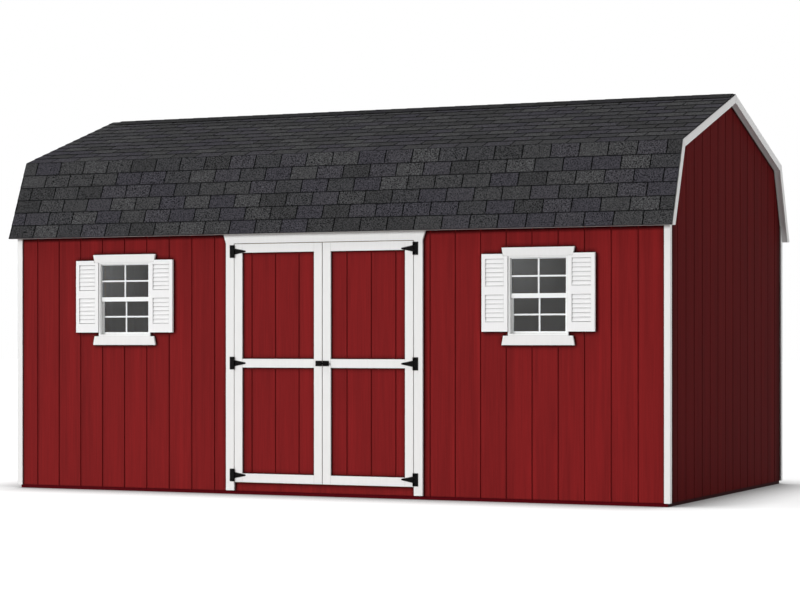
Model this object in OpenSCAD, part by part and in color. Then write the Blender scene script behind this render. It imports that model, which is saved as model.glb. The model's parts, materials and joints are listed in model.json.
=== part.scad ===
// Barn shed with a gambrel roof, double doors and two shuttered windows.
// Millimetres. Ground at z = 0, ridge along x, front wall towards -y.

/* [Building] */
// Length over the siding, along the ridge
shed_l = 5486; // [5000:1:7300]
// Width over the siding, front to back
shed_w = 3048; // [2600:1:3700]
// Height of the top plates above the ground
plate_z = 2205; // [2170:1:2500]
// Hairline left where two boards of one kind butt
butt_gap = 1; // [0.5:0.1:2]

/* [Floor] */
// Depth of the floor joists
joist_h = 89; // [80:1:120]
// Thickness of the floor joists
joist_t = 38; // [30:1:50]
// Widest spacing of the floor joists
joist_pitch = 406; // [300:1:610]
// Thickness of the floor deck
floor_t = 16; // [12:1:22]

/* [Wall framing] */
// Thickness of studs, plates and rafters
stud_t = 38; // [30:1:50]
// Depth of studs, plates and rafters
stud_w = 89; // [70:1:120]
// Widest spacing of the studs
stud_pitch = 610; // [400:1:700]
// Spacing of the short studs in the gables
gable_stud_pitch = 610; // [500:1:700]

/* [Siding] */
// Thickness of the siding panels
siding_t = 12; // [9:0.5:16]
// Height of the siding's lower edge above the ground
siding_z = 27; // [10:1:60]

/* [Roof] */
// Slope of the lower roof, in degrees
lower_slope = 67.9; // [62:0.1:74]
// Length of the lower rafter along its outer edge
lower_rafter_l = 454; // [420:1:700]
// Slope of the upper roof, in degrees
upper_slope = 18.5; // [14:0.1:28]
// Widest spacing of the rafters
rafter_pitch = 610; // [400:1:700]
// Thickness of the plywood gussets
gusset_t = 12; // [9:1:18]
// Reach of a gusset along each rafter
gusset_reach = 190; // [140:1:240]
// Distance from a gusset to the rafter's outer edge
gusset_inset = 6; // [3:1:15]
// Thickness of the roof deck
deck_t = 11; // [9:0.5:16]
// Thickness of the shingle layer
shingle_t = 6; // [4:0.5:10]
// Hairline between the roof's sloped pieces and what they meet
layer_gap = 0.1; // [0.05:0.05:0.3]
// Overhang of the roof deck past the plate, along the slope
eave_overhang = 210; // [180:1:230]
// Gap between boards that meet at the ridge
ridge_gap = 2; // [1:0.5:6]
// Reach of the ridge cap down each slope, level
ridge_cap_w = 130; // [90:1:180]
// Thickness of the ridge cap
ridge_cap_t = 4; // [3:0.5:8]

/* [Outside trim] */
// Thickness of door casings and window trim
trim_t = 19; // [14:1:26]
// Width of the door casings
casing_w = 70; // [60:1:100]
// Height of the casings' lower ends
casing_z = 30; // [20:1:60]
// Spread of the door header past the casings at its top
header_flare = 22; // [0:1:40]
// Thickness of the corner boards
corner_t = 10; // [8:1:19]
// Width of the corner boards on the long walls
corner_w = 44; // [36:1:90]
// Width of the corner boards on the end walls
end_corner_w = 34; // [25:1:90]
// Height of the corner boards' lower ends
corner_z = 26; // [10:1:60]
// Height of the bevelled board under each eave
eave_board_h = 60; // [30:1:80]
// Thickness of the rake nailers
nailer_t = 38; // [25:1:60]
// Depth of the rake nailers
nailer_w = 45; // [35:1:60]
// Thickness of the rake boards
rake_t = 14; // [10:1:19]
// Width of the rake boards
rake_w = 60; // [58:1:90]

/* [Doors] */
// Width between the casings
opening_w = 1524; // [1400:1:1600]
// Height of the leaves' lower edge
leaf_z = 96; // [95:1:100]
// Height of the leaves' upper edge
leaf_top = 1935; // [1850:1:1940]
// Gap round the leaves, at jambs, sill and header
door_gap = 5; // [5:0.5:8]
// Gap between the two leaves
meeting_gap = 6; // [6:0.5:10]
// Gap between the leaves and the studs that stop them
stop_gap = 5; // [5:0.5:8]
// Lap of the leaves over the studs and beam that stop them
stop_lap = 18; // [12:1:30]
// Width of the boards on a leaf
leaf_board_w = 67; // [60:1:95]
// Height of the middle of the middle rail
mid_rail_z = 1015; // [900:1:1150]
// Thickness of the boards on the back of a leaf
backing_t = 19; // [14:1:26]
// Clearance between the back boards and the opening
backing_clear = 8; // [6:1:15]

/* [Hinges] */
// Length of a strap from its pin to its tip
strap_l = 100; // [80:1:130]
// Half height of a strap at its pin
strap_root = 24; // [18:1:28]
// Radius of a strap's rounded tip
strap_tip = 6; // [4:0.5:9]
// Thickness of the hinge steel
strap_t = 2.5; // [2:0.1:4]
// Width of a hinge plate past its barrel
hinge_plate_w = 32; // [28:1:44]
// Height of a hinge plate
hinge_plate_h = 97; // [80:1:120]
// Outer radius of the hinge barrel
barrel_r = 5; // [4:0.1:7]
// Radius of the hinge pin
pin_r = 2.5; // [1.5:0.1:3]
// Running clearance round the pin
pin_clear = 0.05; // [0.03:0.01:0.1]
// Clearance between knuckles and behind the barrel
knuckle_clear = 0.5; // [0.3:0.1:1]
// Height of the upper hinges above the leaves' lower edge
hinge_high = 1782; // [1700:1:1785]
// Height of the lower hinges above the leaves' lower edge
hinge_low = 53; // [50:1:120]

/* [Latch] */
// Length of the latch plate on each leaf
latch_l = 52; // [48:1:70]
// Height of the latch plates
latch_h = 40; // [32:1:50]
// Thickness of the latch plates
latch_t = 3; // [2:0.5:4]
// Radius of the slide bolt
bolt_r = 6; // [4:0.5:7]
// Running clearance round the bolt
bolt_clear = 0.08; // [0.05:0.01:0.1]
// Wall of the bolt's barrel
barrel_wall = 2; // [1.5:0.5:4]
// Travel of the slide bolt
bolt_travel = 22; // [18:1:24]
// Radius of the bolt's knob
knob_r = 4; // [3:0.5:5]
// Reach of the knob out of the barrel
knob_reach = 9; // [6:1:14]
// Thickness of the keeper's loop
loop_t = 3; // [2:0.5:5]
// Length of the keeper's loop along the bolt
loop_l = 14; // [10:1:16]
// Clearance between the bolt and the keeper's loop
loop_clear = 1; // [0.5:0.1:2]

/* [Windows] */
// Distance from a corner of the shed to a window's middle
window_inset = 993; // [900:1:1050]
// Width of a window frame
window_w = 470; // [440:1:500]
// Height of a window frame
window_h = 584; // [560:1:600]
// Height of a window frame's lower edge
window_z = 1224; // [1150:1:1230]
// Lap of the frame's flange over the siding
flange_lap = 8; // [6:1:10]
// Thickness of the frame's flange
flange_t = 14; // [10:1:18]
// Face of the frame at the sides and below
frame_face = 14; // [13:1:20]
// Face of the frame at the top
frame_head = 12; // [12:1:18]
// Depth of the frame inside the siding's face
frame_depth = 48; // [44:1:60]
// Gap between the frame and the cut in the siding
window_gap = 1; // [0.5:0.1:2]
// Running gap round the sashes
sash_gap = 0.3; // [0.2:0.1:0.8]
// Thickness of a sash
sash_t = 18; // [14:1:20]
// Width of the upper sash's stiles and top rail
upper_stile = 8; // [7:1:16]
// Width of the lower sash's stiles and bottom rail
lower_stile = 18; // [14:1:28]
// Height of the meeting rails
meeting_rail = 34; // [26:1:44]
// Height of the meeting rails' lower edge above the frame's
meeting_z = 276; // [250:1:300]
// Thickness of the panes
pane_t = 4; // [3:0.5:6]
// Clearance round a pane
pane_clear = 0.3; // [0.2:0.1:0.6]
// Height of the trim over a window
window_head_h = 63; // [50:1:80]
// Height of the trim under a window
window_sill_h = 69; // [50:1:80]
// Spread of the window trim past the frame, next to it
window_trim_over = 36; // [20:1:50]
// Further spread of the window trim at its far edge
window_trim_flare = 13; // [0:1:25]

/* [Shutters] */
// Width of a shutter
shutter_w = 205; // [180:1:220]
// Height of a shutter
shutter_h = 571; // [560:1:590]
// Height of a shutter's lower edge above the window frame's
shutter_rise = 30; // [20:1:40]
// Thickness of a shutter
shutter_t = 22; // [18:1:28]
// Thickness of a shutter behind its louvres
shutter_back = 5.5; // [4:0.5:8]
// Width of a shutter's stiles
shutter_stile = 28; // [20:1:36]
// Height of a shutter's top rail
shutter_top_rail = 35; // [35:1:50]
// Height of a shutter's middle rail
shutter_mid_rail = 66; // [50:1:80]
// Slats in each louvre panel
slats = 6; // [4:1:6]
// Spacing of the slats
slat_pitch = 33; // [28:1:33]
// Depth of the louvre panel at the lip of a slat
slat_lip = 1; // [0.5:0.5:6]
// Depth of the louvre panel at the root of a slat
slat_root = 10; // [8:0.5:15]
// Drop of the louvre recess below its lowest slat
louvre_drop = 4; // [2:0.5:8]
// Gap between a shutter and what it fits round
shutter_gap = 1; // [0.5:0.1:2]

/* [Hidden] */
$fn = 48;

RED = "firebrick";
WHITE = "whitesmoke";
TIMBER = "burlywood";
PLY = "tan";
BLACK = "#202020";

// Faces of the siding and of the framing behind it
side_x = shed_l / 2;
side_y = shed_w / 2;
frame_x = side_x - siding_t;
frame_y = side_y - siding_t;
trim_y = -side_y - trim_t;

floor_z = joist_h + floor_t;
sole_z = floor_z + stud_t;
plate_low = plate_z - stud_t;

// Roof lines in the (y, z) plane of the front slope. Depth d is square to the slope,
// counted inwards from the rafters' outer edge.
lower_dir = [cos(lower_slope), sin(lower_slope)];
upper_dir = [cos(upper_slope), sin(upper_slope)];
lower_in = [sin(lower_slope), -cos(lower_slope)];
upper_in = [sin(upper_slope), -cos(upper_slope)];
mitre = (lower_in + upper_in) / (1 + cos(lower_slope - upper_slope));
break_0 = [-frame_y, plate_z] + lower_rafter_l * lower_dir;
ridge_z = break_0.y - break_0.x * tan(upper_slope);
eave_z = plate_z - eave_overhang * lower_dir.y;
roof_t = deck_t + shingle_t;

function roof_break(d) = break_0 + d * mitre;
function lower_y(z, d) = -frame_y + (z - plate_z) / tan(lower_slope) + d / sin(lower_slope);
function lower_z(y, d) = plate_z + (y + frame_y - d / sin(lower_slope)) * tan(lower_slope);
function upper_z(y, d) = ridge_z - abs(y) * tan(upper_slope) - d / cos(upper_slope);
function eave(d) = [-frame_y, plate_z] - eave_overhang * lower_dir + d * lower_in;

// Near faces of members of thickness t, spread evenly from a to b
function spread(a, b, t, pitch) =
    let (n = ceil((b - a - t) / pitch))
    [for (i = [0 : n]) a + i * (b - a - t) / n];

// Door and hinge places
casing_x = opening_w / 2;
leaf_x0 = meeting_gap / 2;
leaf_x1 = casing_x - door_gap;
jack_x = casing_x - stop_lap;
beam_z = leaf_top - stop_lap;
header_z = leaf_top + door_gap;
leaf_back = -frame_y - stop_gap;
leaf_front = leaf_back - siding_t;
hinge_x = casing_x - door_gap / 2;
hinge_y = trim_y - knuckle_clear - barrel_r;
hinge_zs = [leaf_z + hinge_low, mid_rail_z, leaf_z + hinge_high];
bolt_y = trim_y - latch_t - barrel_wall - bolt_r;
latch_y = bolt_y - bolt_r - barrel_wall;
keeper_half = bolt_r + loop_clear;

// Window places
window_x = side_x - window_inset;
window_top = window_z + window_h;
cut_w = window_w - 2 * flange_lap;
clear_w = window_w - 2 * frame_face;
sash_low = window_z + frame_face + sash_gap;
sash_high = window_top - frame_head - sash_gap;
sash_w = clear_w - 2 * sash_gap;
meet_low = window_z + meeting_z;
meet_high = meet_low + meeting_rail;
upper_sash_y = -side_y;
lower_sash_y = upper_sash_y + sash_t + sash_gap;
rough_w = window_w + 4 * window_gap;

siding_top = lower_z(-side_y, 0) - butt_gap;

module block(low, high) {
    translate(low)
        cube(high - low);
}

// Outline in (y, z), drawn out along x
module along_x(x0, x1) {
    translate([x0, 0, 0])
        rotate([90, 0, 90])
            linear_extrude(x1 - x0)
                children();
}

// Outline in (x, z), drawn out along y
module along_y(y0, y1) {
    translate([0, y1, 0])
        rotate([90, 0, 0])
            linear_extrude(y1 - y0)
                children();
}

module both_x() {
    children();
    mirror([1, 0, 0])
        children();
}

module both_y() {
    children();
    mirror([0, 1, 0])
        children();
}

// Floor

module floor_rim() {
    color(RED) {
        both_y()
            block([-frame_x, -frame_y, 0], [frame_x, -frame_y + joist_t, joist_h]);
        both_x()
            block([frame_x - joist_t, -frame_y + joist_t + butt_gap, 0],
                  [frame_x, frame_y - joist_t - butt_gap, joist_h]);
    }
}

module floor_joists() {
    places = spread(-frame_x, frame_x, joist_t, joist_pitch);
    color(TIMBER)
        for (i = [1 : len(places) - 2])
            block([places[i], -frame_y + joist_t, 0],
                  [places[i] + joist_t, frame_y - joist_t, joist_h]);
}

module floor_deck() {
    color(PLY)
        block([-frame_x, -frame_y, joist_h], [frame_x, frame_y, floor_z]);
}

// Walls

module end_plate(z) {
    both_x()
        block([frame_x - stud_w, -frame_y + stud_w + butt_gap, z],
              [frame_x, frame_y - stud_w - butt_gap, z + stud_t]);
}

module sole_plates() {
    color(TIMBER) {
        both_x()
            block([jack_x, -frame_y, floor_z], [frame_x, -frame_y + stud_w, sole_z]);
        block([-frame_x, frame_y - stud_w, floor_z], [frame_x, frame_y, sole_z]);
        end_plate(floor_z);
    }
}

module top_plates() {
    color(TIMBER) {
        both_y()
            block([-frame_x, -frame_y, plate_low], [frame_x, -frame_y + stud_w, plate_z]);
        end_plate(plate_low);
    }
}

module front_stud(x, top) {
    block([x, -frame_y, sole_z], [x + stud_t, -frame_y + stud_w, top]);
}

// Stud in the gable, cut to the slope of the upper rafter
module gable_stud(y) {
    low = y - stud_w / 2;
    high = y + stud_w / 2;
    along_x(frame_x - stud_t, frame_x)
        polygon([
            [low, plate_z], [high, plate_z],
            [high, upper_z(high, stud_w + layer_gap)], [low, upper_z(low, stud_w + layer_gap)]
        ]);
}

module wall_studs() {
    end_a = -frame_y + stud_w + butt_gap;
    color(TIMBER) {
        both_x() {
            front_stud(jack_x, beam_z);
            front_stud(jack_x + stud_t + butt_gap, plate_low);
            front_stud(window_x - rough_w / 2 - stud_t, plate_low);
            front_stud(window_x + rough_w / 2, plate_low);
            front_stud(frame_x - stud_t, plate_low);
            for (y = spread(end_a, -end_a, stud_t, stud_pitch))
                block([frame_x - stud_w, y, sole_z], [frame_x, y + stud_t, plate_low]);
            both_y()
                for (i = [0 : 1])
                    gable_stud((i + 0.5) * gable_stud_pitch);
        }
        for (x = spread(-frame_x, frame_x, stud_t, stud_pitch))
            block([x, frame_y - stud_w, sole_z], [x + stud_t, frame_y, plate_low]);
    }
}

// Door beam of two plies, and the boards over and under each window
module wall_headers() {
    beam_x = jack_x + stud_t;
    color(TIMBER) {
        for (y = [-frame_y, -frame_y + stud_w - stud_t])
            block([-beam_x, y, beam_z], [beam_x, y + stud_t, plate_low]);
        both_x()
            for (z = [window_z - stud_t, window_top])
                block([window_x - rough_w / 2, -frame_y, z],
                      [window_x + rough_w / 2, -frame_y + stud_w, z + stud_t]);
    }
}

module siding_cut() {
    translate([window_x - cut_w / 2, window_z + flange_lap])
        square([cut_w, window_h - 2 * flange_lap]);
}

module front_siding() {
    along_y(-side_y, -frame_y)
        difference() {
            translate([casing_x, siding_z])
                square([side_x - casing_x, siding_top - siding_z]);
            siding_cut();
        }
}

module front_siding_left() {
    color(RED)
        mirror([1, 0, 0])
            front_siding();
}

module front_siding_right() {
    color(RED)
        front_siding();
}

module front_siding_over_door() {
    color(RED)
        block([-casing_x, -side_y, header_z], [casing_x, -frame_y, siding_top]);
}

module door_sill_board() {
    color(RED)
        block([-casing_x, -side_y, siding_z], [casing_x, -frame_y, leaf_z - door_gap]);
}

module back_siding() {
    color(RED)
        block([-side_x, frame_y, siding_z], [side_x, side_y, siding_top]);
}

module gable_siding() {
    knee = roof_break(0);
    along_x(frame_x, side_x)
        polygon([
            [-frame_y, siding_z], [frame_y, siding_z], [frame_y, plate_z],
            [-knee.x, knee.y], [0, ridge_z], knee, [-frame_y, plate_z]
        ]);
}

module left_gable_siding() {
    color(RED)
        mirror([1, 0, 0])
            gable_siding();
}

module right_gable_siding() {
    color(RED)
        gable_siding();
}

// Roof

// Outline of a layer of the lower slope, from a point at each face to the knee
module lower_outline(foot_0, foot_1, d0, d1, gap) {
    polygon([
        foot_0, roof_break(d0) - gap * lower_dir,
        roof_break(d1) - gap * lower_dir, foot_1
    ]);
}

// Outline of a layer of the upper slope, from the knee to the plumb cut at the ridge
module upper_outline(d0, d1, gap) {
    y = -ridge_gap / 2;
    polygon([
        roof_break(d0) + gap * upper_dir, [y, upper_z(y, d0)],
        [y, upper_z(y, d1)], roof_break(d1) + gap * upper_dir
    ]);
}

rafter_xs = spread(-frame_x, frame_x, stud_t, rafter_pitch);

module lower_rafters() {
    color(TIMBER)
        both_y()
            for (x = rafter_xs)
                along_x(x, x + stud_t)
                    lower_outline([lower_y(plate_z, 0), plate_z], [lower_y(plate_z, stud_w), plate_z],
                                  0, stud_w, 0);
}

module upper_rafters() {
    color(TIMBER)
        both_y()
            for (x = rafter_xs)
                along_x(x, x + stud_t)
                    upper_outline(0, stud_w, 0);
}

module knee_gusset_outline() {
    knee = roof_break(gusset_inset);
    low = knee - gusset_reach * lower_dir;
    high = knee + gusset_reach * upper_dir;
    depth = stud_w - gusset_inset;
    polygon([low, knee, high, high + depth * upper_in, low + depth * lower_in]);
}

module ridge_gusset_outline() {
    r = gusset_reach;
    polygon([
        [-r, upper_z(r, stud_w)], [-r, upper_z(r, gusset_inset)], [0, upper_z(0, gusset_inset)],
        [r, upper_z(r, gusset_inset)], [r, upper_z(r, stud_w)]
    ]);
}

module rafter_gussets() {
    color(PLY)
        for (i = [1 : len(rafter_xs) - 2])
            for (x = [rafter_xs[i] - gusset_t, rafter_xs[i] + stud_t])
                along_x(x, x + gusset_t) {
                    both_x()
                        knee_gusset_outline();
                    ridge_gusset_outline();
                }
}

module roof_layer(x, d0, d1) {
    both_y()
        along_x(-x, x) {
            lower_outline(eave(d0), eave(d1), d0, d1, butt_gap / 2);
            upper_outline(d0, d1, butt_gap / 2);
        }
}

module roof_deck() {
    color(PLY)
        roof_layer(side_x + nailer_t, -deck_t, -layer_gap);
}

module shingles() {
    color("#3c3c3e")
        roof_layer(side_x + nailer_t + rake_t, -roof_t, -deck_t - layer_gap);
}

module ridge_cap() {
    c = ridge_cap_w;
    low = -roof_t - layer_gap;
    high = low - ridge_cap_t;
    x = side_x + nailer_t + rake_t;
    color("#343436")
        along_x(-x, x)
            polygon([
                [-c, upper_z(c, low)], [-c, upper_z(c, high)], [0, upper_z(0, high)],
                [c, upper_z(c, high)], [c, upper_z(c, low)], [0, upper_z(0, low)]
            ]);
}

// Outside trim

module eave_boards() {
    top = eave_z + eave_board_h;
    color(WHITE)
        both_y()
            along_x(-side_x, side_x)
                polygon([
                    [-side_y, eave_z], [-side_y, top],
                    [lower_y(top, 0), top], [lower_y(eave_z, 0), eave_z]
                ]);
}

// Pair of boards up one gable slope, cut level at the eave
module rake(x0, x1, d0, d1) {
    both_x()
        both_y()
            along_x(x0, x1) {
                lower_outline([lower_y(eave_z, d0), eave_z], [lower_y(eave_z, d1), eave_z],
                              d0, d1, butt_gap / 2);
                upper_outline(d0, d1, butt_gap / 2);
            }
}

module rake_nailers() {
    color(WHITE)
        rake(side_x, side_x + nailer_t, 0, nailer_w);
}

module rake_boards() {
    color(WHITE)
        rake(side_x + nailer_t, side_x + nailer_t + rake_t, -deck_t, rake_w - deck_t);
}

module long_wall_corner_boards() {
    color(WHITE)
        both_x()
            both_y()
                block([side_x + corner_t - corner_w, -side_y - corner_t, corner_z],
                      [side_x + corner_t, -side_y, eave_z]);
}

// Cut at the top to fit under the rake nailer
module end_wall_corner_boards() {
    inner = -side_y + end_corner_w;
    depth = nailer_w + layer_gap;
    color(WHITE)
        both_x()
            both_y()
                along_x(side_x, side_x + corner_t)
                    polygon([
                        [-side_y, corner_z], [-side_y, eave_z],
                        [max(-side_y, lower_y(eave_z, depth)), eave_z],
                        [inner, lower_z(inner, depth)], [inner, corner_z]
                    ]);
}

module door_casings() {
    color(WHITE)
        both_x()
            block([casing_x, trim_y, casing_z], [casing_x + casing_w, -side_y, header_z]);
}

module door_header() {
    low = casing_x + casing_w;
    high = low + header_flare;
    color(WHITE)
        along_y(trim_y, -side_y)
            polygon([[-low, header_z], [low, header_z], [high, eave_z], [-high, eave_z]]);
}

// Doors, drawn on the right

module leaf_panel() {
    block([leaf_x0, leaf_front, leaf_z], [leaf_x1, leaf_back, leaf_top]);
}

// Two stiles with three rails between them
module ladder(x0, x1, z0, z1, y0, y1) {
    w = leaf_board_w;
    for (x = [x0, x1 - w])
        block([x, y0, z0], [x + w, y1, z1]);
    for (z = [z0, mid_rail_z - w / 2, z1 - w])
        block([x0 + w + butt_gap, y0, z], [x1 - w - butt_gap, y1, z + w]);
}

module leaf_boards() {
    ladder(leaf_x0, leaf_x1, leaf_z, leaf_top, trim_y, leaf_front);
}

module leaf_backing() {
    ladder(leaf_x0 + backing_clear, jack_x - backing_clear, floor_z + backing_clear,
           beam_z - backing_clear, leaf_back, leaf_back + backing_t);
}

module right_door_panel() {
    color(RED)
        leaf_panel();
}

module right_door_boards() {
    color(WHITE)
        leaf_boards();
}

module right_door_backing() {
    color(TIMBER)
        leaf_backing();
}

module left_door_panel() {
    color(RED)
        mirror([1, 0, 0])
            leaf_panel();
}

module left_door_boards() {
    color(WHITE)
        mirror([1, 0, 0])
            leaf_boards();
}

module left_door_backing() {
    color(TIMBER)
        mirror([1, 0, 0])
            leaf_backing();
}

// Hinges, drawn on the right

module knuckle(x, z0, z1, r) {
    translate([x, hinge_y, z0])
        cylinder(h = z1 - z0, r = r);
}

// Plate on the casing with its two knuckles and the pin
module hinge_plate(z) {
    half = hinge_plate_h / 2;
    inner = strap_root + knuckle_clear;
    edge = hinge_x + barrel_r + knuckle_clear;
    block([edge, trim_y - strap_t, z - half], [edge + hinge_plate_w, trim_y, z + half]);
    for (end = [[z - half, z - inner], [z + inner, z + half]]) {
        block([hinge_x, trim_y - strap_t, end[0]], [edge, trim_y, end[1]]);
        knuckle(hinge_x, end[0], end[1], barrel_r);
    }
    knuckle(hinge_x, z - half, z + half, pin_r);
}

// Tapered strap with its knuckle; side is 1 on the right leaf and -1 on the left
module hinge_strap(z, side) {
    tip_x = side * (strap_tip - strap_l);
    difference() {
        union() {
            along_y(trim_y - strap_t, trim_y)
                translate([side * hinge_x, z]) {
                    polygon([
                        [0, -strap_root], [0, strap_root], [tip_x, strap_tip], [tip_x, -strap_tip]
                    ]);
                    translate([tip_x, 0])
                        circle(strap_tip);
                }
            knuckle(side * hinge_x, z - strap_root, z + strap_root, barrel_r);
        }
        knuckle(side * hinge_x, z - strap_root - 1, z + strap_root + 1, pin_r + pin_clear);
    }
}

module hinge_plates() {
    color(BLACK)
        both_x()
            for (z = hinge_zs)
                hinge_plate(z);
}

module right_hinge_straps() {
    color(BLACK)
        for (z = hinge_zs)
            hinge_strap(z, 1);
}

module left_hinge_straps() {
    color(BLACK)
        for (z = hinge_zs)
            hinge_strap(z, -1);
}

// Latch

module bolt_rod(x0, x1, r) {
    translate([x0, bolt_y, mid_rail_z])
        rotate([0, 90, 0])
            cylinder(h = x1 - x0, r = r);
}

latch_x0 = leaf_x0 + butt_gap;
latch_x1 = latch_x0 + latch_l;
knob_x = latch_x1 - (latch_l - bolt_travel) / 2;

// Plate with a bored barrel, slotted for the knob
module latch_barrel() {
    half = bolt_r + barrel_wall;
    slot = knob_r + bolt_clear;
    color(BLACK)
        difference() {
            union() {
                block([latch_x0, trim_y - latch_t, mid_rail_z - latch_h / 2],
                      [latch_x1, trim_y, mid_rail_z + latch_h / 2]);
                block([latch_x0, latch_y, mid_rail_z - half],
                      [latch_x1, trim_y - latch_t, mid_rail_z + half]);
            }
            bolt_rod(latch_x0 - 1, latch_x1 + 1, bolt_r + bolt_clear);
            block([knob_x - bolt_travel - slot, latch_y - 1, mid_rail_z - slot],
                  [knob_x + slot, bolt_y, mid_rail_z + slot]);
        }
}

module latch_bolt() {
    color(BLACK) {
        bolt_rod(latch_x0 + butt_gap, latch_x1 - butt_gap, bolt_r);
        translate([knob_x, bolt_y, mid_rail_z])
            rotate([90, 0, 0])
                cylinder(h = bolt_y - latch_y + knob_reach, r = knob_r);
    }
}

module latch_keeper() {
    half = keeper_half + loop_t;
    color(BLACK)
        difference() {
            union() {
                block([-latch_x1, trim_y - latch_t, mid_rail_z - latch_h / 2],
                      [-latch_x0, trim_y, mid_rail_z + latch_h / 2]);
                block([-latch_x0 - loop_l, bolt_y - half, mid_rail_z - half],
                      [-latch_x0, trim_y - latch_t, mid_rail_z + half]);
            }
            block([-latch_x0 - loop_l - 1, bolt_y - keeper_half, mid_rail_z - keeper_half],
                  [-latch_x0 + 1, bolt_y + keeper_half, mid_rail_z + keeper_half]);
        }
}

// Windows, drawn on the right

module frame_ring(margin, y0, y1) {
    along_y(y0, y1)
        difference() {
            translate([window_x - window_w / 2 + margin, window_z + margin])
                square([window_w - 2 * margin, window_h - 2 * margin]);
            translate([window_x - clear_w / 2, window_z + frame_face])
                square([clear_w, window_h - frame_face - frame_head]);
        }
}

module window_frames() {
    color(WHITE)
        both_x() {
            frame_ring(0, -side_y - flange_t, -side_y);
            frame_ring(flange_lap + window_gap, -side_y, -side_y + frame_depth);
        }
}

module sash(y, z0, z1, stile, low_rail, top_rail) {
    along_y(y, y + sash_t)
        difference() {
            translate([window_x - sash_w / 2, z0])
                square([sash_w, z1 - z0]);
            translate([window_x - sash_w / 2 + stile, z0 + low_rail])
                square([sash_w - 2 * stile, z1 - z0 - low_rail - top_rail]);
        }
}

module window_sashes() {
    color(WHITE)
        both_x() {
            sash(upper_sash_y, meet_low, sash_high, upper_stile, meeting_rail, upper_stile);
            sash(lower_sash_y, sash_low, meet_high, lower_stile, lower_stile, meeting_rail);
        }
}

module pane(y, z0, z1, stile) {
    half = sash_w / 2 - stile - pane_clear;
    block([window_x - half, y + (sash_t - pane_t) / 2, z0 + pane_clear],
          [window_x + half, y + (sash_t + pane_t) / 2, z1 - pane_clear]);
}

module window_glass() {
    color("slategray", 0.5)
        both_x() {
            pane(upper_sash_y, meet_high, sash_high - upper_stile, upper_stile);
            pane(lower_sash_y, sash_low + lower_stile, meet_low, lower_stile);
        }
}

// Flared boards over and under a window
module window_head_outline(grow) {
    near = window_w / 2 + window_trim_over;
    far = near + window_trim_flare;
    top = window_top + window_head_h + grow;
    translate([window_x, 0])
        polygon([
            [-near - grow, window_top - grow], [near + grow, window_top - grow],
            [far + grow, top], [-far - grow, top]
        ]);
}

module window_trim() {
    near = window_w / 2 + window_trim_over;
    far = near + window_trim_flare;
    low = window_z - window_sill_h;
    color(WHITE)
        both_x()
            along_y(trim_y, -side_y) {
                window_head_outline(0);
                translate([window_x, 0])
                    polygon([[-far, low], [far, low], [near, window_z], [-near, window_z]]);
            }
}

// Sloped slats of one louvre panel in (y, z), the lower edge of each standing proud
module louvre_outline(z0) {
    face = -side_y - shutter_t;
    polygon(concat(
        [[-side_y - shutter_back, z0]],
        [for (i = [0 : slats - 1], p = [[slat_lip, 0], [slat_root, slat_pitch]])
            [face + p[0], z0 + i * slat_pitch + p[1]]],
        [[-side_y - shutter_back, z0 + slats * slat_pitch]]
    ));
}

module shutter() {
    x0 = window_x + window_w / 2 + shutter_gap;
    z0 = window_z + shutter_rise;
    panel_h = slats * slat_pitch;
    upper_panel = z0 + shutter_h - shutter_top_rail - panel_h;
    lower_panel = upper_panel - shutter_mid_rail - panel_h;
    inner_0 = x0 + shutter_stile;
    inner_1 = x0 + shutter_w - shutter_stile;
    difference() {
        union() {
            difference() {
                block([x0, -side_y - shutter_t, z0], [x0 + shutter_w, -side_y, z0 + shutter_h]);
                for (z = [lower_panel, upper_panel])
                    block([inner_0, -side_y - shutter_t - 1, z - louvre_drop],
                          [inner_1, -side_y - shutter_back, z + panel_h]);
            }
            for (z = [lower_panel, upper_panel])
                along_x(inner_0, inner_1)
                    louvre_outline(z);
        }
        along_y(-side_y - shutter_t - 1, -side_y + 1)
            window_head_outline(shutter_gap);
    }
}

module shutters() {
    color(WHITE)
        both_x() {
            shutter();
            translate([2 * window_x, 0, 0])
                mirror([1, 0, 0])
                    shutter();
        }
}

floor_rim();
floor_joists();
floor_deck();
sole_plates();
wall_studs();
wall_headers();
top_plates();
lower_rafters();
upper_rafters();
rafter_gussets();
roof_deck();
shingles();
ridge_cap();
eave_boards();
rake_nailers();
rake_boards();
front_siding_left();
front_siding_right();
front_siding_over_door();
door_sill_board();
back_siding();
left_gable_siding();
right_gable_siding();
long_wall_corner_boards();
end_wall_corner_boards();
door_casings();
door_header();
hinge_plates();
left_door_panel();
left_door_boards();
left_door_backing();
left_hinge_straps();
latch_keeper();
right_door_panel();
right_door_boards();
right_door_backing();
right_hinge_straps();
latch_barrel();
latch_bolt();
window_frames();
window_sashes();
window_glass();
window_trim();
shutters();
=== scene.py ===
# %% [markdown]
# # A barn shed in Blender
# The shed arrives as plain solids: panels without grooves, one slab for each roof slope, windows
# without bars. This lesson dresses those solids. It cuts the grooves into the siding, lays the
# shingles one tab at a time, adds the bars and the screws, and gives every board its finish.
# All lengths are metres, and a piece goes where its solid is.

# %% Load the solids
import json
import math

import bmesh
import bpy
from mathutils import Matrix, Vector


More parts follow.
